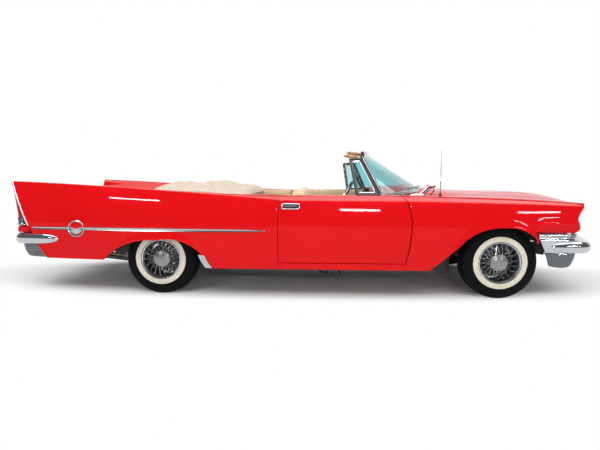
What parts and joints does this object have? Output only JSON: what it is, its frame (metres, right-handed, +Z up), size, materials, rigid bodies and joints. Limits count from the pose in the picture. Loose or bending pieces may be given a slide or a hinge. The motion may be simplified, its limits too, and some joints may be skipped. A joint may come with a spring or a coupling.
{
  "type": "convertible car",
  "caption": "Full-size two-door convertible with tall tail fins, wrapped windshield, wire wheels, whitewall tyres, and doors, lids, steering and wheels that move.",
  "frame": {"origin": "centre of the footprint, on the ground under the tyres", "axes": "+X forward, +Y to the car's left, +Z up"},
  "size_m": [5.5678, 2.002, 1.4028],
  "materials": {
    "body_paint": "gloss",
    "chrome": "polished",
    "glass": "clear",
    "lamp_glass": "clear",
    "red_lens": "gloss",
    "tyre": "matt",
    "leather": "satin",
    "boot_cloth": "satin",
    "dark_metal": "matt",
    "iron": "matt",
    "steel": "satin",
    "trim_red": "satin",
    "dark_plastic": "gloss"
  },
  "bodies": {
    "body": {"frame_rails": "dark_metal", "cross_members": "dark_metal", "floor_pan": "dark_metal", "rear_floor": "dark_metal", "cowl": "body_paint", "front_fender_left": "body_paint", "front_fender_right": "body_paint", "quarter_panel_left": "body_paint", "quarter_panel_right": "body_paint", "rocker_panels": "body_paint", "rear_deck": "body_paint", "rear_valance": "body_paint", "inner_fenders": "dark_metal", "grille": "chrome", "headlamps": "lamp_glass", "front_bumper": "chrome", "rear_bumper": "chrome", "tail_lamps": "red_lens", "side_spears": "chrome", "windshield_frame": "chrome", "windshield_glass": "glass", "dashboard": "trim_red", "steering_column": "steel", "front_seat": "leather", "rear_seat": "leather", "top_boot": "boot_cloth", "engine_block": "iron", "drive_line": "iron", "rear_axle": "iron", "rear_springs": "steel", "front_suspension": "iron", "exhaust_system": "steel", "fuel_tank": "dark_metal", "antenna": "chrome", "door_hinges": "steel"},
    "door_left": {"door_left": "body_paint", "door_handle_left": "chrome", "vent_window_left": "chrome", "vent_glass_left": "glass"},
    "door_right": {"door_right": "body_paint", "door_handle_right": "chrome", "vent_window_right": "chrome", "vent_glass_right": "glass"},
    "hood": {"hood": "body_paint"},
    "trunk_lid": {"trunk_lid": "body_paint"},
    "knuckle_left": {"knuckle_left": "iron"},
    "knuckle_right": {"knuckle_right": "iron"},
    "steering_wheel": {"steering_wheel": "dark_plastic"},
    "wheel_front_left": {"tyre_front_left": "tyre", "wheel_front_left": "chrome"},
    "wheel_front_right": {"tyre_front_right": "tyre", "wheel_front_right": "chrome"},
    "wheel_rear_left": {"tyre_rear_left": "tyre", "wheel_rear_left": "chrome"},
    "wheel_rear_right": {"tyre_rear_right": "tyre", "wheel_rear_right": "chrome"}
  },
  "joints": [
    {"name": "door_left_hinge", "type": "hinge", "parent": "body", "child": "door_left", "pos_m": [0.945, 0.968, 0.62], "axis": [0, 0, -1], "range_deg": [0, 65]},
    {"name": "door_right_hinge", "type": "hinge", "parent": "body", "child": "door_right", "pos_m": [0.945, -0.968, 0.62], "axis": [0, 0, 1], "range_deg": [0, 65]},
    {"name": "hood_hinge", "type": "hinge", "parent": "body", "child": "hood", "pos_m": [1.13, 0, 0.93], "axis": [0, -1, 0], "range_deg": [0, 50]},
    {"name": "trunk_hinge", "type": "hinge", "parent": "body", "child": "trunk_lid", "pos_m": [-1.56, 0, 0.93], "axis": [0, 1, 0], "range_deg": [0, 55]},
    {"name": "steer_left", "type": "hinge", "parent": "body", "child": "knuckle_left", "pos_m": [1.841, 0.69, 0.345], "axis": [0, 0, 1], "range_deg": [-33, 33]},
    {"name": "steer_right", "type": "hinge", "parent": "body", "child": "knuckle_right", "pos_m": [1.841, -0.69, 0.345], "axis": [0, 0, 1], "range_deg": [-33, 33]},
    {"name": "steering_wheel_turn", "type": "hinge", "parent": "body", "child": "steering_wheel", "pos_m": [0.46107, 0.38, 0.90458], "axis": [-0.865, 0, 0.5017], "range_deg": [-528, 528]},
    {"name": "spin_front_left", "type": "hinge", "parent": "knuckle_left", "child": "wheel_front_left", "pos_m": [1.841, 0.777, 0.345], "axis": [0, 1, 0], "continuous": true},
    {"name": "spin_front_right", "type": "hinge", "parent": "knuckle_right", "child": "wheel_front_right", "pos_m": [1.841, -0.777, 0.345], "axis": [0, 1, 0], "continuous": true},
    {"name": "spin_rear_left", "type": "hinge", "parent": "body", "child": "wheel_rear_left", "pos_m": [-1.359, 0.758, 0.345], "axis": [0, 1, 0], "continuous": true},
    {"name": "spin_rear_right", "type": "hinge", "parent": "body", "child": "wheel_rear_right", "pos_m": [-1.359, -0.758, 0.345], "axis": [0, 1, 0], "continuous": true}
  ],
  "couplings": [
    {"joint": "steer_right", "follows": "steer_left", "ratio": 1},
    {"joint": "steering_wheel_turn", "follows": "steer_left", "ratio": 16}
  ]
}
